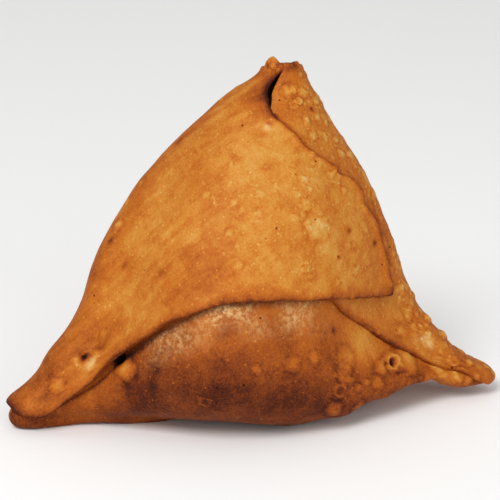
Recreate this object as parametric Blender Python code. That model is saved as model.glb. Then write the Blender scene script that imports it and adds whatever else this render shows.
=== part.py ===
"""A fried samosa, standing on its belly as it is served.

The pastry is a cone of dough wrapped round a filling. It has four ribs: a left and a right corner, which
run out into pinched tips, a swollen front belly and a rounded back. Rings drawn through the ribs make the
filled body. Two layers of dough lie on the body: the side fold, which covers the right cheek, and over it
the front flap, the outer end of the wrap. Above the filling they stand open round the apex as two horns.
It is all one piece of dough, so the layers are joined to the body.

Frame: metres, +Z up, the front faces -Y and the left tip points to -X. The origin is at the height of the
flat spot that the pastry rests on, below the middle of its bounding box.
"""

import math

import bmesh
import bpy
from mathutils import Matrix, Vector

MM = 0.001

# ------------------------------------------------------------------------------ driving dimensions, in mm
# Each rib climbs from the edge of the flat spot, level 0, to the open apex, level 9.
LEFT_RIB = (
    (-42.0, -15.0, 0.0),
    (-49.0, -17.0, 1.0),
    (-49.2, -16.8, 4.4),
    (-42.0, -14.4, 12.0),
    (-35.4, -10.6, 22.5),
    (-30.2, -6.0, 36.0),
    (-20.2, 0.0, 51.5),
    (-7.2, 3.5, 63.5),
    (1.6, 4.8, 70.3),
    (4.6, 5.4, 74.6),
)
FRONT_RIB = (
    (10.0, -12.5, 0.0),
    (8.0, -19.4, 1.4),
    (4.0, -26.4, 5.8),
    (0.0, -30.4, 13.5),
    (-2.0, -29.2, 24.0),
    (-1.5, -24.6, 36.0),
    (0.5, -15.2, 51.0),
    (3.8, -4.8, 63.5),
    (6.6, 1.2, 70.3),
    (8.0, 2.6, 74.2),
)
RIGHT_RIB = (
    (28.0, -4.0, 0.0),
    (42.0, 3.4, 2.8),
    (53.4, 5.2, 3.5),
    (44.6, 4.6, 9.6),
    (35.6, 5.0, 21.5),
    (30.6, 5.5, 35.5),
    (23.4, 6.0, 51.0),
    (15.8, 6.0, 63.5),
    (12.2, 6.0, 70.3),
    (11.0, 6.2, 74.0),
)
BACK_RIB = (
    (-4.0, 21.0, 0.0),
    (-4.0, 26.5, 2.4),
    (-4.0, 28.4, 8.0),
    (-3.5, 27.8, 15.0),
    (-3.0, 25.6, 24.5),
    (-1.5, 21.8, 36.5),
    (1.0, 16.4, 51.5),
    (4.0, 11.8, 63.5),
    (7.2, 10.2, 70.3),
    (8.2, 9.8, 74.2),
)
RIBS = (LEFT_RIB, FRONT_RIB, RIGHT_RIB, BACK_RIB)
APEX_LEVEL = 7.6  # the filled body is closed here, below the open horns

# Of the left and right corners, at each level: the radius, and half the angle between the sides in degrees.
CORNER_RADIUS = ((0.0, 3.2), (4.5, 4.6), (7.0, 3.0), (9.0, 1.2))
CORNER_OPENING = ((0.0, 50.0), (1.5, 17.0), (3.0, 26.0), (4.5, 37.0), (6.5, 52.0), (8.0, 62.0), (9.0, 74.0))
CORNER_REACH = 0.40  # handle lengths of a side's curve, as shares of its length
MIDDLE_REACH = 0.38
ARC_SHARE = 0.08  # the share of a side that goes round the corner

# Where the foot is pulled off its plain rings: how far in mm at each side, the share at each level, and the way.
FOOT_PULLS = (
    (
        ((0.08, 0.0), (0.2, 2.2), (0.4, 3.6), (0.6, 4.8), (0.8, 2.6), (1.0, 0.0)),
        ((0.0, 1.6), (1.0, 1.0), (2.0, 0.3), (3.0, 0.0)),
        (0.0, 1.0, 0.0),
    ),
    (
        ((0.08, 0.0), (0.2, 0.9), (0.4, 0.9), (0.6, 1.1), (0.8, 0.6), (1.0, 0.0)),
        ((0.0, 0.3), (1.0, 1.0), (2.0, 0.5), (3.2, 0.0)),
        (0.0, 0.0, 1.0),
    ),
    (
        ((1.25, 0.0), (1.45, 1.5), (1.6, 2.4), (1.75, 2.4), (1.86, 0.8), (1.95, 0.0)),
        ((0.0, 0.4), (1.0, 1.0), (2.0, 1.0), (3.0, 0.35), (4.0, 0.0)),
        (0.0, 0.0, 1.0),
    ),
    (
        ((1.4, 0.0), (1.7, 1.6), (1.95, 2.4), (2.15, 1.0), (2.4, 0.0)),
        ((0.0, 1.1), (0.9, 0.9), (1.5, 0.0)),
        (0.0, 0.0, 1.0),
    ),
)

DOUGH = 1.6  # thickness of a layer
SIDE_FOLD_LIFT = 1.0  # from the body to a layer's outer face
FLAP_LIFT = 1.9
FLAP_APEX_LIFT = 1.1
ROOT_LIFT = -0.3  # a layer's root lies inside the body, and so does its inner face
SUNK = -0.9

# ------------------------------------------------------------------------------ outlines of the layers
# Along a layer's lower edge: (side, level). Side 0 is the left rib, 1 the front, 2 the right, 3 the back.
FLAP_LOWER_EDGE = (
    (-0.50, 3.2),
    (-0.25, 2.3),
    (-0.05, 1.8),
    (0.10, 1.65),
    (0.19, 2.1),
    (0.26, 2.65),
    (0.43, 3.55),
    (0.61, 4.05),
    (0.78, 4.40),
    (0.97, 4.66),
    (1.26, 4.6),
    (1.50, 4.5),
    (1.86, 4.25),
)
FOLD_LOWER_EDGE = ((1.25, 4.5), (1.48, 4.25), (1.66, 3.7), (1.77, 3.25), (1.86, 2.85), (1.97, 2.0), (2.3, 1.8))
# Up a layer's edge: (level, side). The flap's right edge is wavy.
FLAP_RIGHT_EDGE = (
    (4.25, 1.83),
    (4.7, 1.84),
    (5.3, 1.86),
    (5.55, 1.81),
    (5.75, 1.82),
    (6.05, 1.72),
    (6.25, 1.66),
    (6.55, 1.45),
    (6.95, 1.24),
    (7.2, 1.03),
    (7.6, 0.86),
    (8.0, 0.66),
    (8.5, 0.78),
    (9.3, 0.98),
)
FLAP_ROOT_SIDE = -0.5
FLAP_TOP_EDGE = ((-0.5, 8.8), (0.0, 9.0), (0.8, 9.25), (1.2, 9.0), (1.9, 8.7))  # (side, level)
FOLD_INNER_EDGE = ((4.0, 1.25), (6.8, 1.10), (7.4, 0.85), (8.0, 0.80), (8.5, 0.94), (9.3, 1.12))
FOLD_ROOT_EDGE = ((0.0, 2.6), (6.5, 2.6), (7.5, 3.4), (9.3, 3.6))
FOLD_TOP_EDGE = ((1.0, 8.9), (1.5, 9.1), (2.2, 8.9), (3.6, 8.7))  # (side, level)


def ease(share):
    """0 to 1, starting and ending level."""
    share = min(1.0, max(0.0, share))
    return share * share * (3.0 - 2.0 * share)


def mix(a, b, share):
    return a + (b - a) * share


def read_off(pairs, at):
    """The value that a list of (position, value) pairs gives at a position, as a smooth curve."""
    last = len(pairs) - 1
    first = next((i for i in range(last) if at <= pairs[i + 1][0]), last - 1)
    (x0, y0), (x1, y1) = pairs[first], pairs[first + 1]
    slope_in = slope_out = slope = (y1 - y0) / (x1 - x0)
    if first > 0:
        slope_in = (y1 - pairs[first - 1][1]) / (x1 - pairs[first - 1][0])
    if first + 1 < last:
        slope_out = (pairs[first + 2][1] - y0) / (pairs[first + 2][0] - x0)
    share = min(1.0, max(0.0, (at - x0) / (x1 - x0)))
    bend_in = (slope_in - slope) * (x1 - x0)
    bend_out = (slope_out - slope) * (x1 - x0)
    bend = share * (1 - share) * (bend_in * (1 - share) - bend_out * share)
    return mix(y0, y1, share) + bend


def rib_point(rib, level):
    """The point of a rib at a level, on a smooth curve through the rib's points."""
    first = min(int(max(level, 0.0)), len(rib) - 2)
    share = level - first
    p1, p2 = Vector(rib[first]), Vector(rib[first + 1])
    p0 = Vector(rib[first - 1]) if first else p1 * 2 - p2
    p3 = Vector(rib[first + 2]) if first + 2 < len(rib) else p2 * 2 - p1
    return 0.5 * (
        2 * p1
        + (p2 - p0) * share
        + (2 * p0 - 5 * p1 + 4 * p2 - p3) * share**2
        + (3 * p1 - p0 - 3 * p2 + p3) * share**3
    )


def flat(vector):
    """The horizontal direction of a vector."""
    return Vector((vector.x, vector.y, 0.0)).normalized()


def turned(vector, angle):
    return Matrix.Rotation(angle, 3, "Z") @ vector


def ring_point(side, level):
    """A point in mm on the plain ring of a level. side runs from 0 to 4 round the ring."""
    quarter = min(int(side), 3)
    points = [rib_point(rib, level) for rib in RIBS]
    leaves_corner = quarter % 2 == 0
    if leaves_corner:
        corner, middle, far_corner = points[quarter], points[quarter + 1], points[(quarter + 2) % 4]
        share, turn = side - quarter, 1.0
    else:
        corner, middle, far_corner = points[(quarter + 1) % 4], points[quarter], points[quarter - 1]
        share, turn = 1.0 - (side - quarter), -1.0

    radius = read_off(CORNER_RADIUS, level)
    opening = math.radians(read_off(CORNER_OPENING, level))
    inward = flat((points[1] + points[3]) / 2 - corner)
    along = flat(far_corner - corner)
    start = corner + inward * radius
    if share < ARC_SHARE:
        sweep = (math.pi / 2 - opening) * share / ARC_SHARE
        return start + turned(-inward, turn * sweep) * radius

    # The side is one Bezier curve from the corner to the middle, moved out by the corner's radius.
    end = middle - turned(along, -turn * math.pi / 2) * radius
    length = (end - start).length
    leaving = turned(inward, -turn * opening)
    handle, last_handle = start + leaving * length * CORNER_REACH, end - along * length * MIDDLE_REACH
    t = (share - ARC_SHARE) / (1.0 - ARC_SHARE)
    first, second, third = start.lerp(handle, t), handle.lerp(last_handle, t), last_handle.lerp(end, t)
    first, second = first.lerp(second, t), second.lerp(third, t)
    return first.lerp(second, t) + turned(flat(second - first), -turn * math.pi / 2) * radius


def body_point(side, level):
    """A point of the filled body, in mm: that of the plain ring, with the foot's pulls."""
    side %= 4.0
    point = ring_point(side, level)
    for sides, levels, way in FOOT_PULLS:
        point += Vector(way) * read_off(sides, side) * read_off(levels, level)
    return point


def body_normal(side, level, step=0.02):
    across = body_point(side + step, level) - body_point(side - step, level)
    up = body_point(side, level + step) - body_point(side, level - step)
    return across.cross(up).normalized()


def new_shape(name, columns, rows, place, doubled=False):
    """A mesh object: a flat grid, or two joined round their rims, bent to shape by place(u, v, inner) in mm."""
    shape = bmesh.new()
    bmesh.ops.create_grid(shape, x_segments=columns, y_segments=rows, size=0.5)
    if doubled:
        made = bmesh.ops.extrude_face_region(shape, geom=shape.faces[:], use_keep_orig=True)
        inner = [item for item in made["geom"] if isinstance(item, bmesh.types.BMVert)]
        bmesh.ops.translate(shape, verts=inner, vec=(0.0, 0.0, -1.0))
        bmesh.ops.recalc_face_normals(shape, faces=shape.faces)
    for vert in shape.verts:
        vert.co = place(vert.co.x + 0.5, vert.co.y + 0.5, -vert.co.z) * MM
    bmesh.ops.remove_doubles(shape, verts=shape.verts, dist=0.01 * MM)
    mesh = bpy.data.meshes.new(name)
    shape.to_mesh(mesh)
    shape.free()
    return bpy.data.objects.new(name, mesh)


# ------------------------------------------------------------------------------ the filled body
BODY_COLUMNS = 76
BODY_ROWS = 30
FOOT_ROWS = 3  # rings from the middle of the flat spot out to its edge
CAP_ROWS = 1


def body_place(u, v, _inner):
    """Rows run from the middle of the flat spot, up the body, and in to the middle of the apex."""
    row = v * (BODY_ROWS + FOOT_ROWS + CAP_ROWS)
    level = min(max(row - FOOT_ROWS, 0.0) / BODY_ROWS, 1.0) * APEX_LEVEL
    point = body_point(4.0 * u, level)
    if row < FOOT_ROWS:
        middle = (ring_point(0, 0) + ring_point(2, 0)) / 2
        return middle.lerp(point, row / FOOT_ROWS)
    if row > FOOT_ROWS + BODY_ROWS:
        return (body_point(0, APEX_LEVEL) + body_point(2, APEX_LEVEL)) / 2
    return point


# ------------------------------------------------------------------------------ the side fold
FOLD_COLUMNS, FOLD_ROWS = 20, 20
FOLD_SIDES = (1.15, 2.6)  # the sides that its lower and top edges run between
ROOT_WIDTH = 0.4  # the stretch, in sides, over which a layer sinks into the body


def fold_place(u, v, inner):
    side = mix(*FOLD_SIDES, u)
    level = mix(read_off(FOLD_LOWER_EDGE, side), read_off(FOLD_TOP_EDGE, side), v)
    root = read_off(FOLD_ROOT_EDGE, level)
    side = mix(read_off(FOLD_INNER_EDGE, level), root, u)
    lift = mix(SIDE_FOLD_LIFT, ROOT_LIFT, ease((side - root + ROOT_WIDTH) / ROOT_WIDTH))
    lift = mix(lift, SUNK, inner)
    return body_point(side, level) + body_normal(side, level) * lift


# ------------------------------------------------------------------------------ the front flap
FLAP_COLUMNS, FLAP_ROWS = 36, 24
FLAP_CURL = 0.9  # how far the lower edge stands away from the belly
CURL_SHARE = 0.15  # the share of the flap's height that curls
CURL_SIDES = (0.2, 0.5)  # it starts to curl past the left tip
APEX_LIFT_LEVEL = 7.4  # above it the flap lies closer
FREE_LEVEL = APEX_LEVEL - 0.4  # above it the flap is a free sheet


def flap_place(u, v, inner):
    side = mix(FLAP_ROOT_SIDE, FLAP_LOWER_EDGE[-1][0], u)
    level = mix(read_off(FLAP_LOWER_EDGE, side), read_off(FLAP_TOP_EDGE, side), v)
    side = mix(FLAP_ROOT_SIDE, read_off(FLAP_RIGHT_EDGE, level), u)
    full_lift = mix(FLAP_LIFT, FLAP_APEX_LIFT, ease(level - APEX_LIFT_LEVEL))
    lift = mix(ROOT_LIFT, full_lift, ease((side - FLAP_ROOT_SIDE) / ROOT_WIDTH))
    past_tip = ease((side - CURL_SIDES[0]) / (CURL_SIDES[1] - CURL_SIDES[0]))
    near_edge = ease(1.0 - v / CURL_SHARE) * past_tip
    lift += FLAP_CURL * near_edge
    free = max(near_edge, ease((level - FREE_LEVEL) / 0.3))
    lift = mix(lift, mix(SUNK, max(lift - DOUGH, SUNK), free), inner)
    return body_point(side, level) + body_normal(side, level) * lift


# ------------------------------------------------------------------------------ the object
def fried_dough():
    material = bpy.data.materials.new("fried_dough")
    material.use_nodes = True
    shader = material.node_tree.nodes["Principled BSDF"]
    shader.inputs["Base Color"].default_value = (0.58, 0.23, 0.045, 1.0)
    shader.inputs["Roughness"].default_value = 0.5
    return material


def main():
    for old in list(bpy.data.objects):
        bpy.data.objects.remove(old)
    part = bpy.data.collections.new("samosa")
    layers = bpy.data.collections.new("layers")
    for collection in (part, layers):
        bpy.context.scene.collection.children.link(collection)

    body_rows = BODY_ROWS + FOOT_ROWS + CAP_ROWS
    samosa = new_shape("samosa", BODY_COLUMNS, body_rows, body_place)
    samosa.data.materials.append(fried_dough())
    part.objects.link(samosa)

    for name, columns, rows, place in (
        ("side_fold", FOLD_COLUMNS, FOLD_ROWS, fold_place),
        ("front_flap", FLAP_COLUMNS, FLAP_ROWS, flap_place),
    ):
        layer = new_shape(name, columns, rows, place, doubled=True)
        layer.display_type = "WIRE"
        layer.hide_render = True
        layers.objects.link(layer)
        join = samosa.modifiers.new("join_" + name, "BOOLEAN")
        join.operation = "UNION"
        join.object = layer

    # The pastry is moved so that the middle of its bounding box lies above the origin.
    bpy.context.view_layer.update()
    corners = samosa.evaluated_get(bpy.context.evaluated_depsgraph_get()).bound_box
    middle = (Vector(corners[0]) + Vector(corners[6])) / 2
    for piece in (*part.objects, *layers.objects):
        piece.data.transform(Matrix.Translation((-middle.x, -middle.y, 0.0)))

    samosa.data.shade_smooth()
    samosa.data.set_sharp_from_angle(angle=math.radians(35))


main()
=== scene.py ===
"""A fried samosa on a pale table top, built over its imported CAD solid."""

import math

import bmesh
import bpy
import numpy as np
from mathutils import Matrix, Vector, noise


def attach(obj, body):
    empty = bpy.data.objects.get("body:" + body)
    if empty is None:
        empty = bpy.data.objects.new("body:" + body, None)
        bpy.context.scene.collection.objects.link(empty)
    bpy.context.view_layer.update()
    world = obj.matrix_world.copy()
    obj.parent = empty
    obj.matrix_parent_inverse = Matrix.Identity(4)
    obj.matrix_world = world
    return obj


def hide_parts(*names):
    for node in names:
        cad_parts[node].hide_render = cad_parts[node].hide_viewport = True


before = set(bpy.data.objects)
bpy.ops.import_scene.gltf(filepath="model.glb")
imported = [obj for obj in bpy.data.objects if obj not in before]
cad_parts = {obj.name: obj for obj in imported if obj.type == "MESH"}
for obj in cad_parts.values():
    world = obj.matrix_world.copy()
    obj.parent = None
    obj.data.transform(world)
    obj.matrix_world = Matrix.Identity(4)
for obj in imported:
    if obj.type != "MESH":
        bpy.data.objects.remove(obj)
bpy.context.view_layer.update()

# ===================================================================== filled body
# The real piece is a cone of wheat dough, closed round a potato filling and deep-fried. Its front belly
# swells out below the flap, dusty with rolling flour at the top and darker towards the bottom, partly fried
# dark brown where it lay on the pan and partly painted shade of its downward-facing underside.
# It is made as rings through four ribs, and its blisters are pushed out of that surface.

MM = 0.001
FRAME_SHIFT = np.array([-1.17, 0.91, 0.0])  # from the ribs' own origin to the frame's, in mm

# Each rib climbs from the edge of the flat spot, level 0, to the open apex, level 9, in mm.
LEFT_RIB = (
    (-42.0, -15.0, 0.0),
    (-49.0, -17.0, 1.0),
    (-49.2, -16.8, 4.4),
    (-42.0, -14.4, 12.0),
    (-35.4, -10.6, 22.5),
    (-30.2, -6.0, 36.0),
    (-20.2, 0.0, 51.5),
    (-7.2, 3.5, 63.5),
    (1.6, 4.8, 70.3),
    (4.6, 5.4, 74.6),
)
FRONT_RIB = (
    (10.0, -12.5, 0.0),
    (8.0, -19.4, 1.4),
    (4.0, -26.4, 5.8),
    (0.0, -30.4, 13.5),
    (-2.0, -29.2, 24.0),
    (-1.5, -24.6, 36.0),
    (0.5, -15.2, 51.0),
    (3.8, -4.8, 63.5),
    (6.6, 1.2, 70.3),
    (8.0, 2.6, 74.2),
)
RIGHT_RIB = (
    (28.0, -4.0, 0.0),
    (42.0, 3.4, 2.8),
    (53.4, 5.2, 3.5),
    (44.6, 4.6, 9.6),
    (35.6, 5.0, 21.5),
    (30.6, 5.5, 35.5),
    (23.4, 6.0, 51.0),
    (15.8, 6.0, 63.5),
    (12.2, 6.0, 70.3),
    (11.0, 6.2, 74.0),
)
BACK_RIB = (
    (-4.0, 21.0, 0.0),
    (-4.0, 26.5, 2.4),
    (-4.0, 28.4, 8.0),
    (-3.5, 27.8, 15.0),
    (-3.0, 25.6, 24.5),
    (-1.5, 21.8, 36.5),
    (1.0, 16.4, 51.5),
    (4.0, 11.8, 63.5),
    (7.2, 10.2, 70.3),
    (8.2, 9.8, 74.2),
)
RIBS = [np.array(rib) for rib in (LEFT_RIB, FRONT_RIB, RIGHT_RIB, BACK_RIB)]
APEX_LEVEL = 7.6  # where the filled body closes, inside the open apex
# At each level, a corner's radius in mm, and how far in degrees a side turns off the line between corners.
CORNER_RADIUS = ((0.0, 3.2), (4.5, 4.6), (7.0, 3.0), (9.0, 1.2))
CORNER_OPENING = (
    (0.0, 50.0),
    (1.5, 17.0),
    (3.0, 26.0),
    (4.5, 37.0),
    (6.5, 52.0),
    (8.0, 62.0),
    (9.0, 74.0),
)
# Shares of a side: how far the handles of its curve reach, and how much of it is the corner's arc.
CORNER_REACH, MIDDLE_REACH, ARC_SHARE = 0.40, 0.38, 0.08
# Where the foot is pulled off the plain rings: how far in mm at each side, the share of that at each level,
# and the way.
FOOT_PULLS = (
    (
        ((0.08, 0.0), (0.2, 2.2), (0.4, 3.6), (0.6, 4.8), (0.8, 2.6), (1.0, 0.0)),
        ((0.0, 1.6), (1.0, 1.0), (2.0, 0.3), (3.0, 0.0)),
        (0, 1, 0),
    ),
    (
        ((0.08, 0.0), (0.2, 0.9), (0.4, 0.9), (0.6, 1.1), (0.8, 0.6), (1.0, 0.0)),
        ((0.0, 0.3), (1.0, 1.0), (2.0, 0.5), (3.2, 0.0)),
        (0, 0, 1),
    ),
    (
        ((1.25, 0.0), (1.45, 1.5), (1.6, 2.4), (1.75, 2.4), (1.86, 0.8), (1.95, 0.0)),
        ((0.0, 0.4), (1.0, 1.0), (2.0, 1.0), (3.0, 0.35), (4.0, 0.0)),
        (0, 0, 1),
    ),
    (
        ((1.4, 0.0), (1.7, 1.6), (1.95, 2.4), (2.15, 1.0), (2.4, 0.0)),
        ((0.0, 1.1), (0.9, 0.9), (1.5, 0.0)),
        (0, 0, 1),
    ),
)
SURFACE_STEP = 0.02  # in sides and in levels, either way, for slopes and areas


def ease(share):
    """0 to 1, starting and ending level."""
    share = np.clip(share, 0.0, 1.0)
    return share * share * (3.0 - 2.0 * share)


def mix(a, b, share):
    """A value on the way from a to b."""
    return a + (b - a) * share


def read_off(pairs, at):
    """The values that a list of (position, value) pairs gives at positions, as a smooth curve."""
    x, y = np.array(pairs).T
    at = np.clip(at, x[0], x[-1])
    first = np.clip(np.searchsorted(x, at, side="left") - 1, 0, len(x) - 2)
    slope = np.diff(y) / np.diff(x)
    through = np.concatenate([slope[:1], (y[2:] - y[:-2]) / (x[2:] - x[:-2]), slope[-1:]])
    step = np.diff(x)[first]
    share = (at - x[first]) / step
    bend_in = (through[first] - slope[first]) * step
    bend_out = (through[first + 1] - slope[first]) * step
    bend = share * (1 - share) * (bend_in * (1 - share) - bend_out * share)
    return mix(y[first], y[first + 1], share) + bend


def rib_points(rib, level):
    """The points of a rib at levels, on a smooth curve through the rib's points."""
    last = len(rib) - 1
    first = np.clip(level.astype(int), 0, last - 1)
    share = (level - first)[:, None]
    p1, p2 = rib[first], rib[first + 1]
    p0 = np.where(first[:, None] > 0, rib[np.maximum(first - 1, 0)], 2 * p1 - p2)
    p3 = np.where(first[:, None] + 2 <= last, rib[np.minimum(first + 2, last)], 2 * p2 - p1)
    curve = 2 * p1 + (p2 - p0) * share + (2 * p0 - 5 * p1 + 4 * p2 - p3) * share**2
    return 0.5 * (curve + (3 * p1 - p0 - 3 * p2 + p3) * share**3)


def flat(vectors):
    """The horizontal directions of vectors."""
    level = vectors * np.array([1.0, 1.0, 0.0])
    return level / np.maximum(np.linalg.norm(level, axis=1, keepdims=True), 1e-9)


def turned(vectors, angle):
    """Vectors turned about Z."""
    c, s = np.cos(angle), np.sin(angle)
    x, y = vectors[:, 0], vectors[:, 1]
    return np.stack([c * x - s * y, s * x + c * y, vectors[:, 2]], axis=1)


def body_points(side, level):
    """Points of the filled body in mm. side runs round it: 0 left corner, 1 front, 2 right, 3 back."""
    side = np.mod(side, 4.0)
    quarter = np.minimum(side.astype(int), 3)
    ribs = np.stack([rib_points(rib, level) for rib in RIBS])
    column = np.arange(len(side))
    leaves = quarter % 2 == 0
    corner = ribs[np.where(leaves, quarter, (quarter + 1) % 4), column]
    middle = ribs[np.where(leaves, quarter + 1, quarter), column]
    far_corner = ribs[np.where(leaves, (quarter + 2) % 4, quarter - 1), column]
    share = np.where(leaves, side - quarter, 1.0 - (side - quarter))[:, None]
    turn = np.where(leaves, 1.0, -1.0)

    radius = read_off(CORNER_RADIUS, level)[:, None]
    opening = np.radians(read_off(CORNER_OPENING, level))
    inward = flat((ribs[1] + ribs[3]) / 2 - corner)
    along = flat(far_corner - corner)
    start = corner + inward * radius
    sweep = (math.pi / 2 - opening) * np.minimum(share[:, 0] / ARC_SHARE, 1.0)
    round_corner = start + turned(-inward, turn * sweep) * radius

    # Past the corner, a side is one Bezier curve to its middle, moved out by the corner's radius.
    end = middle - turned(along, -turn * math.pi / 2) * radius
    length = np.linalg.norm(end - start, axis=1, keepdims=True)
    handle = start + turned(inward, -turn * opening) * length * CORNER_REACH
    last_handle = end - along * length * MIDDLE_REACH
    t = np.maximum(share - ARC_SHARE, 0.0) / (1.0 - ARC_SHARE)
    first, second, third = mix(start, handle, t), mix(handle, last_handle, t), mix(last_handle, end, t)
    first, second = mix(first, second, t), mix(second, third, t)
    curve = mix(first, second, t) + turned(flat(second - first), -turn * math.pi / 2) * radius
    placed = np.where(share < ARC_SHARE, round_corner, curve) + FRAME_SHIFT
    for sides, levels, way in FOOT_PULLS:
        placed += (read_off(sides, side) * read_off(levels, level))[:, None] * np.array(way)
    return placed


def surface_steps(side, level):
    """How far the body's surface goes over a short step round it, and over one up it."""
    across = body_points(side + SURFACE_STEP, level) - body_points(side - SURFACE_STEP, level)
    up = body_points(side, level + SURFACE_STEP) - body_points(side, level - SURFACE_STEP)
    return across, up


def body_normals(side, level):
    """The directions straight out of the filled body."""
    normals = np.cross(*surface_steps(side, level))
    return normals / np.maximum(np.linalg.norm(normals, axis=1, keepdims=True), 1e-9)


def lumps(points, size, seed):
    """Even noise of about -1 to 1 at each point, its lumps size mm across."""
    start = Vector((17.3 * seed, 5.9 * seed, -11.1 * seed))
    return np.array([noise.noise(Vector(point) / size + start) for point in points.tolist()])


def uneven(points, waves):
    """The sum of several noises at each point, each given as (height, size in mm, seed)."""
    return sum(height * lumps(points, size, seed) for height, size, seed in waves)


def bell(distance, width):
    """1 at no distance, falling off smoothly over the width."""
    return np.exp(-((distance / width) ** 2))


# Hand-rolled dough is never even, and the filling pushes it out in lumps: (mm high, mm across, seed).
FILLING_LUMPS = ((0.50, 21.0, 1), (0.28, 8.5, 2))
# Where the whole piece is fuller or slacker than its rings: (side, level, radius, mm).
SWELLINGS = (
    (1.90, 2.30, 4.5, 0.6),
    (1.86, 1.60, 4.0, 0.4),
    (1.50, 1.90, 7.0, 1.0),
    (1.27, 1.70, 4.0, 1.0),
    (2.00, 4.90, 8.0, -0.6),
    (0.00, 1.50, 3.5, 1.0),
    (0.00, 3.20, 4.5, 1.0),
    (0.78, 4.20, 3.0, -0.5),
    (0.96, 4.20, 3.0, -0.6),
)


def swell(points):
    """How far in mm the whole piece bulges at each point, under every layer of dough."""
    bulge = uneven(points, FILLING_LUMPS)
    for side_at, level_at, radius, depth in SWELLINGS:
        centre = body_points(np.array([side_at]), np.array([level_at]))
        bulge += depth * bell(np.linalg.norm(points - centre, axis=1), radius)
    return bulge


# Each kind of blister: how high its middle and its rim stand for a height of 1, and how much browner each is.
BLISTER_KINDS = {
    "puffed": (0.8, 0.0, -0.17, 0.0),
    "flat": (0.35, 0.25, -0.16, -0.06),
    "ring": (0.15, 0.6, 0.03, -0.17),
    "burst": (-1.7, 0.7, 0.60, -0.22),
}
# In blister radii: where its rim and the browner skin round it lie, and how wide they are.
BLISTER_RIM, BLISTER_RIM_WIDTH = 0.80, 0.20
BLISTER_EDGE, BLISTER_EDGE_WIDTH, BLISTER_EDGE_BROWN = 1.12, 0.17, 0.09
BURST_HOLE, FLAT_TOP = 0.5, 0.75
BLISTER_WOBBLE, PATCH_WOBBLE = 0.45, 0.30  # how far their outlines are from round


def add_blisters(points, places, blisters, relief, browning):
    """Raises blisters of (side, level, radius, height, kind) out of points, and colours their skin."""
    centres = places(np.array([b[0] for b in blisters]), np.array([b[1] for b in blisters]))
    for (_, _, radius, height, kind), centre in zip(blisters, centres):
        middle_high, rim_high, middle_brown, rim_brown = BLISTER_KINDS[kind]
        near = np.abs(points - centre).max(axis=1) < radius * 1.6
        wobble = 1.0 + BLISTER_WOBBLE * lumps(points[near], radius * 0.75, 7)
        reach = np.linalg.norm(points[near] - centre, axis=1) / (radius * wobble)
        middle = np.clip(1.0 - reach**2, 0.0, 1.0) ** 0.8
        top = BURST_HOLE if kind == "burst" else FLAT_TOP
        inside = np.clip(1.0 - (reach / top) ** 4, 0.0, 1.0)
        rim = bell(reach - BLISTER_RIM, BLISTER_RIM_WIDTH)
        dome = middle if kind == "puffed" else inside
        relief[near] += height * (middle_high * dome + rim_high * rim)
        strength = min(1.0, 0.45 + abs(height) * 1.8)
        browning[near] += strength * (middle_brown * dome + rim_brown * rim)
        edge = bell(reach - BLISTER_EDGE, BLISTER_EDGE_WIDTH)
        browning[near] += strength * BLISTER_EDGE_BROWN * edge


def add_patches(points, places, patches, values):
    """Adds soft-edged patches of (side, level, radius, change) to values. Small ones are round."""
    centres = places(np.array([p[0] for p in patches]), np.array([p[1] for p in patches]))
    for (_, _, radius, change), centre in zip(patches, centres):
        wobble = 1.0 + PATCH_WOBBLE * lumps(points, radius * 0.8, 9) if radius > 2.0 else 1.0
        values += change * bell(np.linalg.norm(points - centre, axis=1) * wobble, radius)


def scattered(seed, sides, levels, density, radii, heights, kinds, count=4000):
    """Seeded random blisters over sides and levels, as many to each square cm as density says."""
    draw = np.random.default_rng(seed)
    side, level = draw.uniform(*sides, count), draw.uniform(*levels, count)
    steps = np.cross(*surface_steps(side, level))
    area = np.linalg.norm(steps, axis=1) / (2 * SURFACE_STEP) ** 2 / 100.0
    expected = density(side, level) * area * (sides[1] - sides[0]) * (levels[1] - levels[0]) / count
    kept = draw.uniform(0.0, 1.0, count) < expected
    size = draw.uniform(0.0, 1.0, count) ** 2.2
    radius, kind = mix(*radii, size), draw.choice(kinds, count)
    height = mix(*heights, size) * draw.uniform(0.6, 1.2, count)
    return [b for b, keep in zip(zip(side, level, radius, height, kind), kept) if keep]


def skin_layer(lift):
    """The function that gives points at a lift above the filled body."""
    return lambda side, level: body_points(side, level) + body_normals(side, level) * lift


def linear(code):
    """An sRGB hex colour as linear RGBA."""
    parts = [int(code[i : i + 2], 16) / 255 for i in (1, 3, 5)]
    return [p / 12.92 if p <= 0.04045 else ((p + 0.055) / 1.055) ** 2.4 for p in parts] + [1.0]


def add(tree, kind, inputs, **settings):
    """Adds a node with its settings, and links or fills its inputs."""
    made = tree.nodes.new(kind)
    for name, value in settings.items():
        setattr(made, name, value)
    for socket, value in inputs.items():
        if isinstance(value, bpy.types.NodeSocket):
            tree.links.new(value, made.inputs[socket])
        else:
            made.inputs[socket].default_value = value
    return made


# From raw flour, through golden and orange, to the dark brown of the hottest spots.
DOUGH_COLOURS = (
    (0.00, "#cdb586"),
    (0.20, "#c3944c"),
    (0.38, "#bb7a2c"),
    (0.52, "#ad5f1a"),
    (0.66, "#964a11"),
    (0.80, "#70310b"),
    (0.92, "#471a06"),
    (1.10, "#140501"),
)
BROWNEST = 1.1
FLOUR_COLOUR = "#c99f68"
PER_MM = 1000.0  # Object coordinates are in metres
CLOUD, SPOT, FRECKLE = 14.0, 3.6, 0.45  # mottling from uneven oil and heat, in mm
STREAK_WIDTH, STREAK_STRETCH = 1.8, 7.0  # left by the rolling pin: 1.8 mm wide and some 12 mm long
SPECK_SPACING, STARCH_SPACING = 4.5, 1.7
FLOUR_TUFT, PORE, PORE_DEPTH = 1.1, 0.8, 0.25
DOUGH_IOR, OIL_SHEEN = 1.45, 0.14


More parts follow.
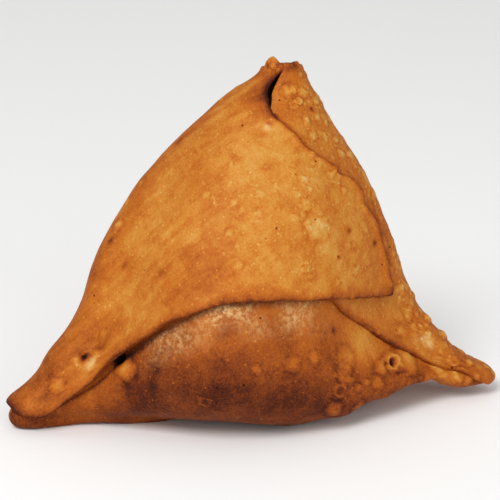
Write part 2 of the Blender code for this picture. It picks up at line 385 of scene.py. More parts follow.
def fried_dough(name, streak_turn, streak_depth, mottle, grain_bump):
    """Deep-fried wheat dough: a golden skin with a slight oily sheen, uneven browning, fine pores and pale
    starch grains. browning and flour are the mesh's own attributes."""
    material = bpy.data.materials.new(name)
    material.use_nodes = True
    tree = material.node_tree
    tree.nodes.clear()
    place = add(tree, "ShaderNodeTexCoord", {}).outputs["Object"]
    browning = add(tree, "ShaderNodeAttribute", {}, attribute_name="browning").outputs["Fac"]
    flour = add(tree, "ShaderNodeAttribute", {}, attribute_name="flour").outputs["Fac"]
    for size, depth, detail in ((CLOUD, mottle, 2.0), (SPOT, mottle * 0.8, 4.0), (FRECKLE, 0.34, 2.0)):
        cloud = add(
            tree,
            "ShaderNodeTexNoise",
            {"Vector": place, "Scale": PER_MM / size, "Detail": detail, "Distortion": 0.9},
        )
        change = add(tree, "ShaderNodeMath", {0: cloud.outputs["Fac"], 1: 0.5}, operation="SUBTRACT")
        changed = {0: change.outputs[0], 1: depth, 2: browning}
        browning = add(tree, "ShaderNodeMath", changed, operation="MULTIPLY_ADD").outputs[0]
    along = add(
        tree,
        "ShaderNodeMapping",
        {"Vector": place, "Rotation": streak_turn, "Scale": (STREAK_STRETCH, 1.0, 1.0)},
        vector_type="TEXTURE",
    )
    streak = add(
        tree,
        "ShaderNodeTexNoise",
        {"Vector": along.outputs[0], "Scale": PER_MM / STREAK_WIDTH, "Detail": 2.0},
    )
    change = add(tree, "ShaderNodeMath", {0: streak.outputs["Fac"], 1: 0.5}, operation="SUBTRACT")
    changed = {0: change.outputs[0], 1: streak_depth, 2: browning}
    browning = add(tree, "ShaderNodeMath", changed, operation="MULTIPLY_ADD").outputs[0]
    # Burnt specks 0.3 to 0.6 mm across, then pale starch grains 0.2 to 0.5 mm across.
    for spacing, core, edge, change in (
        (SPECK_SPACING, 0.035, 0.065, 0.45),
        (STARCH_SPACING, 0.07, 0.16, -0.20),
    ):
        grain = add(tree, "ShaderNodeTexVoronoi", {"Vector": place, "Scale": PER_MM / spacing})
        amount = add(
            tree,
            "ShaderNodeMapRange",
            {
                "Value": grain.outputs["Distance"],
                "From Min": core,
                "From Max": edge,
                "To Min": change,
                "To Max": 0.0,
            },
        )
        changed = {0: browning, 1: amount.outputs[0]}
        browning = add(tree, "ShaderNodeMath", changed, operation="ADD").outputs[0]

    shown = add(tree, "ShaderNodeMapRange", {"Value": browning, "From Min": 0.0, "From Max": BROWNEST})
    ramp = add(tree, "ShaderNodeValToRGB", {"Fac": shown.outputs[0]})
    stops = ramp.color_ramp.elements
    stops.remove(stops[1])
    stops[0].color = linear(DOUGH_COLOURS[0][1])
    for at, code in DOUGH_COLOURS[1:]:
        stops.new(at / BROWNEST).color = linear(code)
    # Flour clings to the pores in tufts, and dulls the oil's sheen.
    tuft = add(
        tree,
        "ShaderNodeTexNoise",
        {"Vector": place, "Scale": PER_MM / FLOUR_TUFT, "Detail": 4.0, "Roughness": 0.75},
    )
    lying = add(
        tree,
        "ShaderNodeMapRange",
        {"Value": tuft.outputs["Fac"], "From Min": 0.44, "From Max": 0.62, "To Min": 0.14, "To Max": 1.0},
    )
    dusting = add(
        tree,
        "ShaderNodeMath",
        {0: lying.outputs[0], 1: flour},
        operation="MULTIPLY",
        use_clamp=True,
    ).outputs[0]
    colour = add(
        tree,
        "ShaderNodeMix",
        {"Factor": dusting, "A": ramp.outputs["Color"], "B": linear(FLOUR_COLOUR)},
        data_type="RGBA",
    )
    # The browner it is fried, the drier and rougher the skin.
    rough = add(
        tree,
        "ShaderNodeMapRange",
        {"Value": browning, "From Min": 0.2, "From Max": 0.9, "To Min": 0.50, "To Max": 0.68},
    )
    powdered = {0: dusting, 1: 0.35, 2: rough.outputs[0]}
    powder = add(tree, "ShaderNodeMath", powdered, operation="MULTIPLY_ADD")

    pores = add(tree, "ShaderNodeTexNoise", {"Vector": place, "Scale": PER_MM / PORE, "Detail": 3.0})
    bump = add(
        tree,
        "ShaderNodeBump",
        {"Height": pores.outputs["Fac"], "Strength": grain_bump, "Distance": PORE_DEPTH / PER_MM},
    )
    dough = add(
        tree,
        "ShaderNodeBsdfPrincipled",
        {
            "Base Color": colour.outputs["Result"],
            "Roughness": powder.outputs[0],
            "Normal": bump.outputs[0],
            "IOR": DOUGH_IOR,
            "Specular IOR Level": OIL_SHEEN,
        },
    )
    add(tree, "ShaderNodeOutputMaterial", {"Surface": dough.outputs[0]})
    return material


MOST_BROWNING = 1.4


def finish_piece(mesh, points, browning, flour, material):
    """Puts the mesh's vertices at points in mm, with its browning and flour, and adds it to the samosa."""
    mesh.vertices.foreach_set("co", (points * MM).astype(np.float32).ravel())
    for name, values in (("browning", browning), ("flour", flour)):
        layer = mesh.attributes.new(name, "FLOAT", "POINT")
        layer.data.foreach_set("value", np.clip(values, 0.0, MOST_BROWNING).astype(np.float32))
    mesh.shade_smooth()
    mesh.update()
    mesh.materials.append(material)
    piece = bpy.data.objects.new(mesh.name, mesh)
    bpy.context.scene.collection.objects.link(piece)
    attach(piece, "root")
    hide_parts("samosa")
    return piece


# (side, level) along the front flap's lower edge, which the flour on the belly follows.
FLAP_LOWER_EDGE = (
    (-0.50, 3.2),
    (-0.25, 2.4),
    (-0.05, 2.0),
    (0.03, 1.93),
    (0.09, 1.84),
    (0.14, 1.93),
    (0.17, 2.17),
    (0.21, 2.50),
    (0.27, 2.88),
    (0.33, 3.30),
    (0.43, 3.62),
    (0.62, 4.07),
    (0.79, 4.42),
    (0.92, 4.60),
    (1.03, 4.65),
    (1.24, 4.59),
    (1.43, 4.51),
    (1.71, 4.34),
    (1.86, 4.27),
)
BODY_AROUND = 440
BODY_FOOT_ROWS, BODY_LOW_ROWS, BODY_HIGH_ROWS, BODY_CAP_ROWS = 12, 108, 46, 6
BELLY_TOP_LEVEL = 5.0
MM_PER_LEVEL = 12.5
RIGHT_CORNER = 2.0
SKIN_GRAIN = ((0.14, 3.4, 3), (0.06, 1.3, 4))
BODY_BROWNING = 0.60

# (side, level, radius in mm, height in mm, kind) of the large blisters.
BODY_BLISTERS = (
    (1.74, 3.04, 3.0, 1.1, "puffed"),
    (1.67, 3.06, 2.6, 0.7, "puffed"),
    (1.66, 3.06, 2.1, 0.7, "burst"),
    (1.62, 3.16, 0.8, 0.4, "puffed"),
    (1.62, 2.97, 0.8, 0.4, "puffed"),
    (1.69, 2.95, 0.8, 0.4, "puffed"),
    (1.58, 3.00, 1.7, 0.9, "puffed"),
    (1.83, 2.72, 1.6, 0.4, "flat"),
    (1.86, 2.40, 1.3, 0.4, "ring"),
    (1.88, 2.20, 1.2, 0.4, "flat"),
    (1.32, 2.66, 1.6, 0.6, "ring"),
    (1.40, 3.08, 2.2, 0.25, "flat"),
    (1.44, 3.39, 2.6, 0.25, "flat"),
    (1.40, 2.60, 1.0, 0.3, "puffed"),
    (1.46, 2.70, 0.9, 0.3, "puffed"),
    (0.40, 3.25, 2.6, 1.0, "puffed"),
)
# (side, level, radius in mm, change) of dents in mm, and of browner or paler patches, some of them painted
# shade in the dents.
BODY_DENTS = (
    (0.32, 3.47, 1.4, -3.0),
    (0.52, 3.08, 3.0, -0.5),
    (1.44, 3.94, 0.8, -0.5),
    (0.60, 3.35, 1.2, -0.2),
    (1.62, 2.68, 3.0, -0.5),
)
BODY_BROWN_AND_SHADE_PATCHES = (
    # The first, third and fourth patches sit in the hole under the flap's edge, the pit and the dent listed
    # above: painted shade in them.
    (0.32, 3.47, 1.3, 0.80),
    (0.40, 3.60, 2.6, 0.14),
    (1.44, 3.94, 0.7, 0.28),
    (0.60, 3.35, 1.1, 0.12),
    (0.58, 3.01, 1.1, 0.10),
    (0.87, 2.99, 3.2, 0.08),
    (0.98, 2.67, 4.0, 0.07),
    (1.13, 2.77, 3.0, 0.08),
    (1.22, 2.50, 3.5, 0.08),
    (0.44, 3.05, 3.5, 0.12),
    (0.40, 3.28, 2.2, -0.22),
    (1.60, 3.55, 5.5, -0.30),
    (1.84, 2.50, 6.0, -0.30),
    (1.74, 3.06, 2.6, -0.12),
    (0.95, 3.30, 6.5, 0.10),
    (0.75, 3.35, 6.0, 0.06),
    (0.22, 2.60, 8.0, -0.14),
    (0.40, 3.00, 4.0, -0.06),
    (1.00, 4.40, 6.5, 0.05),
    (0.96, 4.15, 2.4, 0.09),
    (0.78, 4.10, 2.2, 0.06),
)


def body_blister_density(side, level):
    """Many on the back, some along the right of the belly, few elsewhere on it."""
    behind = ease((side - 2.1) / 0.3) * 7.0
    right = bell(side - 1.45, 0.22) * bell(level - 2.5, 0.7) * 9.0
    right += bell(side - 1.85, 0.15) * bell(level - 1.9, 0.6) * 12.0
    clear_of_flap = ease((read_off(FLAP_LOWER_EDGE, side) - 0.35 - level) / 0.2)
    return np.where(side < 2.1, (0.15 + right) * clear_of_flap, behind)


bm = bmesh.new()
body_rows = BODY_FOOT_ROWS + BODY_LOW_ROWS + BODY_HIGH_ROWS + BODY_CAP_ROWS
bmesh.ops.create_uvsphere(bm, u_segments=BODY_AROUND, v_segments=body_rows, radius=1.0)
body_mesh = bpy.data.meshes.new("filled_body")
bm.to_mesh(body_mesh)
bm.free()
ball = np.empty(len(body_mesh.vertices) * 3, np.float32)
body_mesh.vertices.foreach_get("co", ball)
ball = ball.reshape(-1, 3)
row = np.round(np.arccos(np.clip(-ball[:, 2], -1.0, 1.0)) / math.pi * body_rows)
side = (np.arctan2(ball[:, 1], ball[:, 0]) + math.pi) / (math.pi / 2)
side_rows = row - BODY_FOOT_ROWS
level = np.where(
    side_rows < BODY_LOW_ROWS,
    np.maximum(side_rows, 0.0) / BODY_LOW_ROWS * BELLY_TOP_LEVEL,
    mix(BELLY_TOP_LEVEL, APEX_LEVEL, np.minimum((side_rows - BODY_LOW_ROWS) / BODY_HIGH_ROWS, 1.0)),
)
points, normals = body_points(side, level), body_normals(side, level)
foot_share = np.clip(row / BODY_FOOT_ROWS, 0.0, 1.0)[:, None]
cap_share = np.clip((body_rows - row) / BODY_CAP_ROWS, 0.0, 1.0)[:, None]
foot_middle = np.array([-6.0, 4.0, 0.6]) + FRAME_SHIFT
cap_middle = np.array([7.0, 5.0, 69.0]) + FRAME_SHIFT

# The skin has no blisters of its own where the flap lies on it.
covered = ease((level - read_off(FLAP_LOWER_EDGE, side) - 0.15) / 0.4) * (side < RIGHT_CORNER)
relief = swell(points)
browning = np.full(len(points), BODY_BROWNING)
own = uneven(points, SKIN_GRAIN)
blisters = list(BODY_BLISTERS)
blisters += scattered(
    seed=11,
    sides=(0.0, 4.0),
    levels=(0.4, 7.4),
    density=body_blister_density,
    radii=(0.5, 2.2),
    heights=(0.10, 0.55),
    kinds=["puffed", "puffed", "flat", "flat", "ring"],
)
add_blisters(points, body_points, blisters, own, browning)
add_patches(points, body_points, BODY_DENTS, own)
relief += own * (1.0 - covered)

# Darker low down, partly fried dark on the pan and partly painted shade of the underside; orange higher up.
front = (side < RIGHT_CORNER + 0.05).astype(float)
low = ease((4.5 - level) / 2.0) * (1.0 - 0.4 * ease((side - 1.05) / 0.6))
browning += front * 0.22 * low
browning += front * 0.06 * lumps(points, 9.0, 5)
add_patches(points, body_points, BODY_BROWN_AND_SHADE_PATCHES, browning)
# Flour that the flap kept from the oil, thinning out over 9 mm below its edge.
below_edge = (read_off(FLAP_LOWER_EDGE, side) - level) * MM_PER_LEVEL
flour = front * ease((side - 0.45) / 0.25) * ease((1.52 - side) / 0.3)
flour *= np.clip(1.1 - below_edge / 8.5, 0.0, 1.0) * (0.74 + 1.1 * lumps(points, 6.0, 6))
flour *= ease((below_edge + 0.5) / 1.5)
# Painted shadow: a dark line on the belly just under the flap's lower edge.
browning += front * 0.22 * bell(below_edge, 1.0)
# Darkest inside the open apex: painted shade of the hollow, with darker frying.
browning += 0.7 * np.maximum(front * ease((level - 6.9) / 0.3), 1.0 - cap_share[:, 0])

points += normals * relief[:, None]
points = mix(foot_middle, points, foot_share)
points = mix(cap_middle, points, cap_share)
points[:, 2] = np.maximum(points[:, 2], 0.0)
belly_dough = fried_dough(
    "fried_dough_belly",
    streak_turn=(0.0, math.radians(80), 0.0),
    streak_depth=0.10,
    mottle=0.28,
    grain_bump=0.45,
)
finish_piece(body_mesh, points, browning, flour, belly_dough)

# ===================================================================== side fold
# The cone's wrapped-over side: a sheet of the same dough, rolled 1.6 mm thin, wetted and pressed round the
# right corner. It blistered most, with oil on both faces. It is a closed double sheet laid on the body.

DOUGH_THICK = 1.6
# (side, level) along its lower edge, and (level, side) up its front edge and where it joins the body behind.
FOLD_LOWER_EDGE = (
    (1.15, 4.95),
    (1.35, 4.78),
    (1.47, 4.45),
    (1.54, 4.18),
    (1.65, 3.87),
    (1.71, 3.64),
    (1.76, 3.43),
    (1.81, 3.24),
    (1.86, 3.02),
    (1.88, 2.75),
    (1.90, 2.45),
    (1.93, 2.12),
    (2.00, 1.90),
    (2.30, 1.80),
)
FOLD_INNER_EDGE = (
    (4.00, 1.15),
    (6.80, 1.08),
    (7.15, 1.00),
    (7.50, 0.97),
    (7.83, 0.89),
    (8.40, 0.90),
    (8.85, 0.92),
    (9.20, 0.85),
)
FOLD_ROOT_EDGE = ((0.0, 2.6), (5.4, 2.6), (6.7, 3.45), (9.3, 3.62))
FOLD_TOP_EDGE = ((1.15, 9.20), (1.35, 9.18), (1.47, 9.24), (1.60, 9.10), (2.0, 8.85), (2.6, 8.7))
FOLD_SIDES = (1.15, 2.6)
# (level, side) up the front flap's right edge, where it lies on the fold.
FLAP_RIGHT_EDGE = (
    (4.25, 1.80),
    (4.40, 1.83),
    (4.75, 1.84),
    (5.10, 1.84),
    (5.30, 1.85),
    (5.45, 1.82),
    (5.60, 1.78),
    (5.70, 1.81),
    (5.90, 1.77),
    (6.02, 1.71),
    (6.10, 1.64),
    (6.15, 1.66),
    (6.26, 1.60),
    (6.37, 1.52),
    (6.56, 1.40),
    (6.73, 1.34),
    (6.87, 1.26),
    (6.99, 1.19),
    (7.07, 1.11),
    (7.35, 0.98),
    (7.52, 0.92),
    (7.78, 0.81),
    (8.10, 0.78),
    (8.43, 0.82),
    (8.70, 0.90),
    (8.90, 0.95),
    (9.12, 0.90),
    (9.30, 0.78),
)
MM_PER_SIDE = 25.0
# How far in mm a sheet's outer face stands over the body: on the fold, at the root of either sheet, and
# its inner face where the sheet is stuck down.
FOLD_LIFT, ROOT_LIFT, BURIED = 1.0, -0.3, -0.9
ROOT_WIDTH = 0.4  # in sides
RIM_ROUND = 0.9
FOLD_ACROSS, FOLD_UP = 176, 236
FOLD_GRAIN = ((0.12, 2.8, 13), (0.04, 1.5, 14))
FOLD_BROWNING = 0.482
INSIDE_SHADE_AND_BROWNING = 0.5  # how much darker a sheet's inner face is within the open apex: painted shade of the hollow, with darker frying


def spaced(cells, rim_cells, rim_share):
    """Positions 0 to 1 whose first rim_cells share out rim_share, and the rest the remainder."""
    rim = np.linspace(0.0, rim_share, rim_cells + 1)[:-1]
    return np.concatenate([rim, np.linspace(rim_share, 1.0, cells - rim_cells + 1)])


def double_sheet(name, across, up):
    """A closed flat sheet of two skins, and each vertex's skin (0 outer, 1 inner), column and row."""
    bm = bmesh.new()
    bmesh.ops.create_grid(bm, x_segments=across, y_segments=up, size=0.5)
    made = bmesh.ops.extrude_face_region(bm, geom=bm.faces[:], use_keep_orig=True)
    skin = [part for part in made["geom"] if isinstance(part, bmesh.types.BMVert)]
    bmesh.ops.translate(bm, verts=skin, vec=(0.0, 0.0, -1.0))
    bmesh.ops.recalc_face_normals(bm, faces=bm.faces[:])
    mesh = bpy.data.meshes.new(name)
    bm.to_mesh(mesh)
    bm.free()
    flat_places = np.empty(len(mesh.vertices) * 3, np.float32)
    mesh.vertices.foreach_get("co", flat_places)
    flat_places = flat_places.reshape(-1, 3)
    column = np.round((flat_places[:, 0] + 0.5) * across).astype(int)
    row = np.round((flat_places[:, 1] + 0.5) * up).astype(int)
    return mesh, ((flat_places[:, 2] < -0.5).astype(int), column, row)


def on_body(side, level):
    """Points of the filled body at a grid of sides and levels."""
    return body_points(side.ravel(), level.ravel()).reshape(side.shape + (3,))


def lifted(side, level, lift):
    """A grid's points at a lift above the filled body, as one list."""
    normals = body_normals(side.ravel(), level.ravel()).reshape(side.shape + (3,))
    return (on_body(side, level) + normals * lift[..., None]).reshape(-1, 3)


def from_edge(points, axis, last):
    """Distance in mm of a grid's points from its first row along axis, or from its last."""
    steps = np.linalg.norm(np.diff(points, axis=axis), axis=2)
    walked = np.concatenate([np.zeros_like(points[..., 0]).take([0], axis), np.cumsum(steps, axis)], axis)
    return walked.take([-1], axis) - walked if last else walked


def lay_sheet(side, level, lift, free, own, edge_distance):
    """A sheet's outer and inner points. own is its relief, and it is stuck down where free is 0."""
    base = on_body(side, level)
    normal = body_normals(side.ravel(), level.ravel()).reshape(base.shape)
    shared = swell(base.reshape(-1, 3)).reshape(side.shape)
    past_rim = np.clip(1.0 - edge_distance / RIM_ROUND, 0.0, 1.0)
    round_off = np.sqrt(np.clip(1.0 - past_rim**2, 0.0, 1.0))
    half = DOUGH_THICK / 2 * mix(0.55, 1.0, round_off)
    middle = lift - DOUGH_THICK / 2
    outer = middle + half + own.reshape(side.shape)
    inner = mix(BURIED, np.maximum(middle - half, BURIED), free)
    return np.stack([base + normal * (shared + height)[..., None] for height in (outer, inner)])


def finish_sheet(mesh, cells, skins, level, browning, flour, material):
    """Puts both skins in place, the inner one painted in shade and fried darker inside the apex, and adds the
    piece.
    """
    skin, column, row = cells
    browning = browning.reshape(level.shape)[column, row]
    browning += skin * INSIDE_SHADE_AND_BROWNING * ease((level[column, row] - 7.0) / 0.5)
    finish_piece(mesh, skins[cells], browning, flour.reshape(level.shape)[column, row], material)


FOLD_BLISTERS = (
    (1.19, 7.83, 1.3, 0.18, "flat"),
    (1.30, 7.83, 1.5, 0.20, "flat"),
    (1.42, 7.84, 1.1, 0.18, "flat"),
    (1.50, 7.45, 0.95, 0.28, "puffed"),
    (1.53, 7.03, 0.95, 0.28, "puffed"),
    (1.89, 3.85, 1.5, 0.30, "flat"),
    (1.88, 3.64, 1.0, 0.30, "puffed"),
    (1.97, 3.66, 1.4, 0.80, "puffed"),
    (2.00, 3.28, 1.5, 1.00, "puffed"),
    (2.01, 2.82, 1.3, 0.45, "puffed"),
    (1.86, 2.34, 1.2, 0.45, "ring"),
    (1.83, 2.56, 1.0, 0.45, "puffed"),
    (1.90, 2.21, 1.0, 0.50, "puffed"),
    (1.92, 3.45, 0.8, 0.40, "puffed"),
    (1.99, 4.05, 1.1, 0.60, "puffed"),
)
FOLD_PATCHES = (
    (1.68, 7.18, 0.6, 0.35),
    (1.85, 3.50, 8.0, 0.09),
    (1.90, 2.40, 6.0, 0.12),
    (1.30, 8.50, 4.0, 0.08),
    (1.60, 6.30, 8.0, -0.03),
    (1.90, 3.33, 1.1, -0.35),
    (1.26, 9.10, 1.2, 0.22),
    (1.05, 9.00, 1.0, 0.18),
    (1.30, 7.30, 3.0, 0.04),
    (1.10, 8.00, 2.5, 0.10),
)
FOLD_FLOUR = (
    (1.89, 3.37, 0.9, 1.9),
    (1.90, 3.28, 0.8, 1.9),
    (1.88, 3.43, 0.6, 1.0),
)


def fold_blister_density(side, level):
    """Crowded along the right corner, few on the flat of the side."""
    corner = bell(side - 1.98, 0.15) * 40.0
    upper = ease((level - 5.0) / 2.0) * bell(side - 1.75, 0.25) * 30.0
    return corner + upper + 4.0 + 5.0 * (side > 2.1)


fold_mesh, fold_cells = double_sheet("side_fold", FOLD_ACROSS, FOLD_UP)
u, v = np.meshgrid(spaced(FOLD_ACROSS, 6, 0.02), spaced(FOLD_UP, 7, 0.016), indexing="ij")
side = mix(*FOLD_SIDES, u)
level = mix(read_off(FOLD_LOWER_EDGE, side), read_off(FOLD_TOP_EDGE, side), v)
root = read_off(FOLD_ROOT_EDGE, level)
side = mix(read_off(FOLD_INNER_EDGE, level), root, u)
base = on_body(side, level)
from_low, from_inner = from_edge(base, 1, False), from_edge(base, 0, False)
from_top = from_edge(base, 1, True)
edge_distance = np.minimum(np.minimum(from_low, from_inner), from_top)
lift = mix(FOLD_LIFT, ROOT_LIFT, ease((side - root + ROOT_WIDTH) / ROOT_WIDTH))
free = ease((level - APEX_LEVEL + 0.4) / 0.3)

sheet = lifted(side, level, lift)
height = level.ravel()
own = uneven(sheet, FOLD_GRAIN)
browning = FOLD_BROWNING + 0.05 * lumps(sheet, 10.0, 15)
# Browner along its lower edge, except at the tip; and a painted shadow of the flap's right edge beside it.
low_rim = (0.24 * bell(from_low, 1.5) + 0.05 * bell(from_low, 3.0)).ravel()
browning += low_rim * mix(0.3, 1.0, ease((height - 2.5) / 0.8))
past_flap = ((side - read_off(FLAP_RIGHT_EDGE, level)) * MM_PER_SIDE).ravel()
shade = 0.34 * bell(past_flap, 1.2) + 0.07 * bell(past_flap, 3.0)
browning += shade * ease((height - 4.2) / 0.15) * (height < 7.2)
blisters = list(FOLD_BLISTERS)
blisters += scattered(
    seed=21,
    sides=(1.2, 2.6),
    levels=(1.9, 8.6),
    density=fold_blister_density,
    radii=(0.40, 1.40),
    heights=(0.06, 0.36),
    kinds=["puffed", "flat", "flat", "flat", "ring"],
)
fold_skin = skin_layer(FOLD_LIFT)
add_blisters(sheet, fold_skin, blisters, own, browning)
add_patches(sheet, fold_skin, FOLD_PATCHES, browning)
flour = np.zeros(len(sheet))
add_patches(sheet, fold_skin, FOLD_FLOUR, flour)
side_dough = fried_dough(
    "fried_dough_side",
    streak_turn=(0.0, math.radians(60), 0.0),
    streak_depth=0.10,
    mottle=0.32,
    grain_bump=0.40,
)
skins = lay_sheet(side, level, lift, free, own, edge_distance)
finish_sheet(fold_mesh, fold_cells, skins, level, browning, flour, side_dough)

# ===================================================================== front flap
# The last fold: a broad tongue of dough brought over the front from behind the left corner and pressed down
# on the filling. It lay uppermost, so it is smooth and golden, browned and a little lifted along its edges.
# It is made as the fold is, and its lower edge curls off the belly.

FLAP_TOP_EDGE = (
    (-0.5, 8.6),
    (0.3, 8.75),
    (0.7, 9.0),
    (1.0, 9.18),
    (1.3, 9.24),
    (1.5, 9.22),
    (1.65, 9.18),
    (1.86, 9.1),
)
FLAP_SIDES = (-0.5, 1.86)
FLAP_LIFT, FLAP_APEX_LIFT = 1.9, 1.3
FLAP_ACROSS, FLAP_UP = 226, 188
# How far the lower edge stands off the belly, in mm, at each side.
FLAP_CURL = (
    (-0.5, 0.0),
    (0.0, 0.1),
    (0.15, 0.5),
    (0.3, 0.8),
    (0.45, 0.5),
    (0.8, 0.4),
    (1.3, 0.5),
    (1.6, 0.8),
    (1.86, 0.9),
)
FLAP_GRAIN = ((0.07, 4.5, 23), (0.03, 1.4, 24))
FLAP_BROWNING = 0.415
RIGHT_EDGE_LIFT, HORN_LIFT = 0.60, 1.0

FLAP_BLISTERS = (
    (1.37, 5.50, 2.7, 0.30, "flat"),
    (1.43, 5.47, 1.6, 0.25, "flat"),
    (1.31, 5.06, 1.2, 0.16, "ring"),
    (1.28, 5.06, 1.2, 0.16, "ring"),
    (1.31, 4.97, 1.2, 0.16, "ring"),
    (1.28, 4.97, 1.2, 0.16, "ring"),
    (1.60, 6.05, 1.5, 0.25, "ring"),
    (1.44, 6.44, 0.95, 0.35, "puffed"),
    (1.44, 6.31, 0.65, 0.25, "puffed"),
    (1.41, 6.23, 0.60, 0.25, "puffed"),
    (1.34, 6.12, 0.90, 0.30, "puffed"),
    (1.65, 5.85, 0.90, 0.25, "puffed"),
    (0.44, 6.24, 0.70, 0.20, "puffed"),
    (0.81, 6.36, 0.70, 0.20, "puffed"),
    (0.78, 5.92, 0.65, 0.20, "puffed"),
    (0.80, 5.86, 0.80, 0.20, "flat"),
    (0.05, 5.33, 1.4, 0.55, "puffed"),
    (0.02, 5.60, 0.9, 0.40, "puffed"),
    (0.04, 5.85, 1.0, 0.40, "puffed"),
    (0.08, 2.76, 1.7, 0.35, "puffed"),
    (0.15, 3.33, 2.5, 0.50, "ring"),
    (0.20, 3.81, 1.0, 0.30, "puffed"),
    (0.66, 8.92, 0.9, 0.40, "puffed"),
    (0.82, 8.78, 0.9, 0.40, "puffed"),
)
FLAP_FLOUR = (
    (0.19, 3.27, 0.75, 1.8),
    (0.20, 3.24, 0.60, 1.4),
    (1.02, 6.91, 0.65, 1.5),
)
FLAP_DENTS = (
    (0.12, 3.62, 1.6, -0.6),
    (0.07, 2.52, 1.5, -0.5),
    (0.19, 3.62, 2.2, -0.7),
    (0.95, 6.85, 2.0, -0.25),
    (0.12, 3.37, 1.0, -0.9),
    (0.19, 3.30, 0.8, -0.4),
)
FLAP_PATCHES = (
    (0.79, 6.47, 1.1, 0.12),
    (0.86, 6.45, 1.4, 0.10),
    (1.08, 6.29, 1.6, 0.10),
    (1.61, 5.35, 0.75, 0.36),
    (1.78, 5.08, 0.75, 0.38),
    (1.49, 5.08, 0.35, 0.70),
    (1.02, 6.91, 0.75, -0.30),
    (1.03, 6.97, 0.55, 0.30),
    (0.05, 5.14, 0.6, 0.35),
    (0.05, 6.47, 0.8, 0.40),
    (0.57, 4.96, 0.8, 0.16),
    (0.23, 4.89, 0.6, 0.28),
    (0.23, 4.99, 0.6, 0.18),
    (1.30, 5.00, 1.5, 0.06),
    (0.20, 3.95, 4.5, 0.09),
    (0.05, 3.20, 5.0, 0.02),
    (0.15, 3.40, 1.3, 0.14),
    (0.19, 3.27, 0.9, -0.35),
    (0.13, 3.42, 1.3, 0.14),
    (0.06, 2.19, 2.2, -0.14),
    (0.09, 2.45, 1.4, 0.07),
    (0.80, 7.50, 4.2, 0.28),
    (0.45, 7.90, 4.5, 0.13),
    (0.80, 8.20, 2.5, 0.12),
    (0.77, 9.07, 0.6, 0.35),
    (0.44, 8.85, 0.6, 0.25),
    (0.23, 8.45, 0.7, 0.25),
    (0.10, 7.95, 1.3, -0.16),
    (0.90, 5.05, 9.0, 0.16),
    (0.97, 6.45, 4.5, -0.06),
    (0.85, 6.55, 3.0, -0.05),
    (1.05, 6.02, 3.5, -0.06),
    (0.50, 5.60, 5.0, -0.04),
    (1.55, 5.40, 8.0, 0.05),
    (1.75, 4.80, 6.0, 0.03),
    (0.08, 2.76, 1.5, -0.10),
    # These two darken the dents at (0.19, 3.62) and (0.12, 3.37) on the left tongue: painted shade in the
    # dents.
    (0.19, 3.60, 1.8, 0.16),
    (0.12, 3.38, 0.7, 0.50),
)


def flap_blister_density(side, level):
    """A band from the middle to the upper right, and the left silhouette."""
    upper_right = bell(side - 1.5, 0.30) * bell(level - 6.0, 0.8) * 16.0
    band = bell(side - 1.0, 0.5) * bell(level - 5.8, 0.5) * 6.0
    left = bell(side - 0.0, 0.08) * ease((level - 4.6) / 0.6) * 14.0
    return upper_right + band + left + 1.0 + 6.0 * (side < -0.08)


flap_mesh, flap_cells = double_sheet("front_flap", FLAP_ACROSS, FLAP_UP)
u, v = np.meshgrid(1.0 - spaced(FLAP_ACROSS, 8, 0.016)[::-1], spaced(FLAP_UP, 8, 0.016), indexing="ij")
side = mix(*FLAP_SIDES, u)
level = mix(read_off(FLAP_LOWER_EDGE, side), read_off(FLAP_TOP_EDGE, side), v)
side = mix(FLAP_SIDES[0], read_off(FLAP_RIGHT_EDGE, level), u)
base = on_body(side, level)
# The cut edges are slightly ragged.
ragged = lumps(base.reshape(-1, 3), 1.6, 22).reshape(side.shape)
from_low, from_right = from_edge(base, 1, False), from_edge(base, 0, True)
from_top = from_edge(base, 1, True)
level += 0.022 * ragged * bell(from_low, 1.5)
side += 0.006 * ragged * bell(from_right, 1.5)
edge_distance = np.minimum(np.minimum(from_low, from_right), from_top)
lift = mix(FLAP_LIFT, FLAP_APEX_LIFT, ease(level - 7.4))
lift = mix(ROOT_LIFT, lift, ease((side - FLAP_SIDES[0]) / ROOT_WIDTH))
near_low = ease(1.0 - from_low / 7.0)
near_right = ease(1.0 - from_right / 3.0) * ease((7.0 - level) / 0.5)
# Slack over the left corner, fat at the horn of the apex, and curled along both cut edges.
lift -= 0.5 * ease((0.25 - side) / 0.25) * bell(level - 6.2, 1.2) * ease((side + 0.3) / 0.2)
lift += HORN_LIFT * bell(level - 9.1, 0.35) * bell(side - 0.35, 0.30)
lift += near_low**2 * read_off(FLAP_CURL, side) + RIGHT_EDGE_LIFT * near_right
free = np.maximum(ease(1.0 - from_low / 3.5), ease((level - APEX_LEVEL + 0.4) / 0.3))
free *= ease((side + 0.3) / 0.3)

sheet = lifted(side, level, lift)
height = level.ravel()
own = uneven(sheet, FLAP_GRAIN)
own += 0.22 * lumps(sheet, 2.4, 26) * ease((height - 8.2) / 0.5)
browning = FLAP_BROWNING + 0.05 * lumps(sheet, 12.0, 25)
# Browner along both cut edges and down the left tongue, and darker over the left corner.
low_rim, right_rim = from_low.ravel(), from_right.ravel()
browning += 0.12 * bell(low_rim, 0.5) + 0.14 * bell(low_rim, 1.4) + 0.07 * bell(low_rim, 3.4)
browning += 0.10 * bell(right_rim, 0.5) + 0.20 * bell(right_rim, 1.1) + 0.06 * bell(right_rim, 3.4)
browning += 0.12 * ease((0.22 - side.ravel()) / 0.2)
browning += 0.12 * ease((4.4 - height) / 1.5) * ease((0.6 - side.ravel()) / 0.4)
blisters = list(FLAP_BLISTERS)
blisters += scattered(
    seed=31,
    sides=(-0.4, 1.8),
    levels=(2.0, 8.6),
    density=flap_blister_density,
    radii=(0.35, 1.0),
    heights=(0.06, 0.24),
    kinds=["puffed", "puffed", "flat"],
)
flap_skin = skin_layer(FLAP_LIFT)
add_blisters(sheet, flap_skin, blisters, own, browning)
add_patches(sheet, flap_skin, FLAP_DENTS, own)
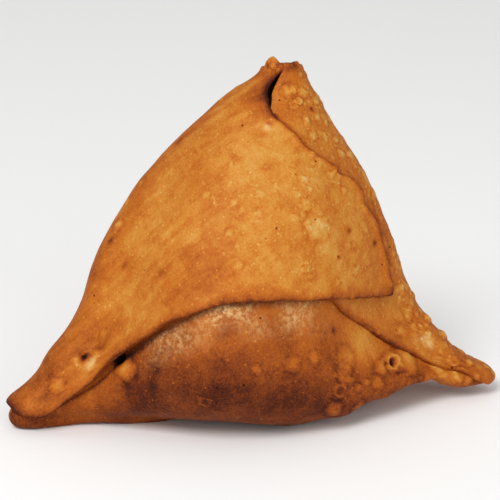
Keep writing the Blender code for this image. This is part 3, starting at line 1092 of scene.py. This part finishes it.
add_patches(sheet, flap_skin, FLAP_PATCHES, browning)
flour = np.zeros(len(sheet))
add_patches(sheet, flap_skin, FLAP_FLOUR, flour)
flap_dough = fried_dough(
    "fried_dough_flap",
    streak_turn=(0.0, math.radians(-38), 0.0),
    streak_depth=0.24,
    mottle=0.38,
    grain_bump=0.30,
)
skins = lay_sheet(side, level, lift, free, own, edge_distance)
finish_sheet(flap_mesh, flap_cells, skins, level, browning, flour, flap_dough)

# ===================================================================== table top, light and camera
# A plain white table top in a white room. The key light is large and soft, from the upper left, and a weaker
# and larger one fills in from the right front. The camera looks slightly down, from far off with a long lens.

FLOOR_HALF = 2.0
bm = bmesh.new()
bmesh.ops.create_grid(bm, x_segments=1, y_segments=1, size=FLOOR_HALF)
floor_mesh = bpy.data.meshes.new("table_top")
bm.to_mesh(floor_mesh)
bm.free()
# White laminate, matt enough that the samosa leaves no reflection in it.
laminate = bpy.data.materials.new("white_laminate")
laminate.use_nodes = True
laminate_sockets = laminate.node_tree.nodes["Principled BSDF"].inputs
laminate_sockets["Base Color"].default_value = linear("#f6f6f5")
laminate_sockets["Roughness"].default_value = 0.7
floor_mesh.materials.append(laminate)
floor = bpy.data.objects.new("table_top", floor_mesh)
bpy.context.scene.collection.objects.link(floor)

ROOM_LIGHT = 0.55
world = bpy.data.worlds.new("white_room")
world.use_nodes = True
world_sockets = world.node_tree.nodes["Background"].inputs
world_sockets["Color"].default_value = linear("#ffffff")
world_sockets["Strength"].default_value = ROOM_LIGHT
bpy.context.scene.world = world

LOOK_AT = Vector((-0.74, 0.91, 34.3)) * MM


def aim(thing, place, target):
    """Puts a light or the camera at a place, facing a target."""
    thing.location = place
    thing.rotation_euler = (target - place).to_track_quat("-Z", "Y").to_euler()


for name, place, size, watts in (
    ("soft_key", (-0.40, -0.78, 0.92), 0.6, 10.5),
    ("soft_front", (0.55, -1.1, 0.40), 0.9, 5.0),
):
    light = bpy.data.lights.new(name, "AREA")
    light.size, light.energy = size, watts
    lamp = bpy.data.objects.new(name, light)
    bpy.context.scene.collection.objects.link(lamp)
    aim(lamp, Vector(place), LOOK_AT)

CAMERA_RISE, CAMERA_DISTANCE = math.radians(18.0), 0.6
LENS_MM, SENSOR_MM = 200.0, 36.0
lens = bpy.data.cameras.new("camera")
lens.lens, lens.sensor_width = LENS_MM, SENSOR_MM
lens.clip_start = 0.01
camera = bpy.data.objects.new("camera", lens)
bpy.context.scene.collection.objects.link(camera)
away = Vector((0.0, -math.cos(CAMERA_RISE), math.sin(CAMERA_RISE)))
aim(camera, LOOK_AT + away * CAMERA_DISTANCE, LOOK_AT)
bpy.context.scene.camera = camera
bpy.context.scene.view_settings.view_transform = "Standard"
